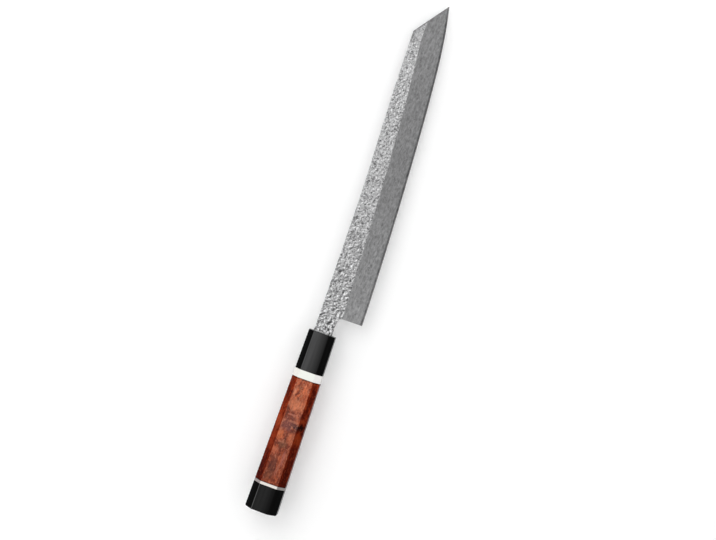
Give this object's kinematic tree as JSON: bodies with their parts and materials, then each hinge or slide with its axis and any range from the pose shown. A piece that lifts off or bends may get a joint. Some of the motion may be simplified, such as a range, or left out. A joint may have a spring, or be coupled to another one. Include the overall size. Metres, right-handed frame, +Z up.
{
  "type": "kiritsuke knife",
  "caption": "Long slicing knife with a clipped angular tip, hammered wide-bevel blade and octagonal wooden handle with black ferrule, white spacers and black butt cap.",
  "frame": {"origin": "middle of the bounding box in plan, on the surface that the knife lies on", "axes": "+X to the tip, -Y to the cutting edge, +Z up from the surface; the knife lies on its left side, so the handle's axis dips 1.9 degrees towards the tip"},
  "size_m": [0.3904, 0.0374, 0.0229],
  "materials": {
    "forged_steel": "hammered above the ridge line, fine satin on the bevel",
    "black_horn": "polished black",
    "white_spacer": "smooth off-white",
    "red_burl_wood": "polished red-brown burl",
    "pale_hardwood": "bare turned hardwood",
    "amber_resin": "hardened clear amber resin"
  },
  "bodies": {
    "root": {"blade": "forged_steel", "ferrule": "black_horn", "front_spacer": "white_spacer", "grip": "red_burl_wood", "rear_spacer": "white_spacer", "end_cap": "black_horn", "core_dowel": "pale_hardwood", "end_dowel": "pale_hardwood", "tang_bedding": "amber_resin"}
  },
  "joints": []
}
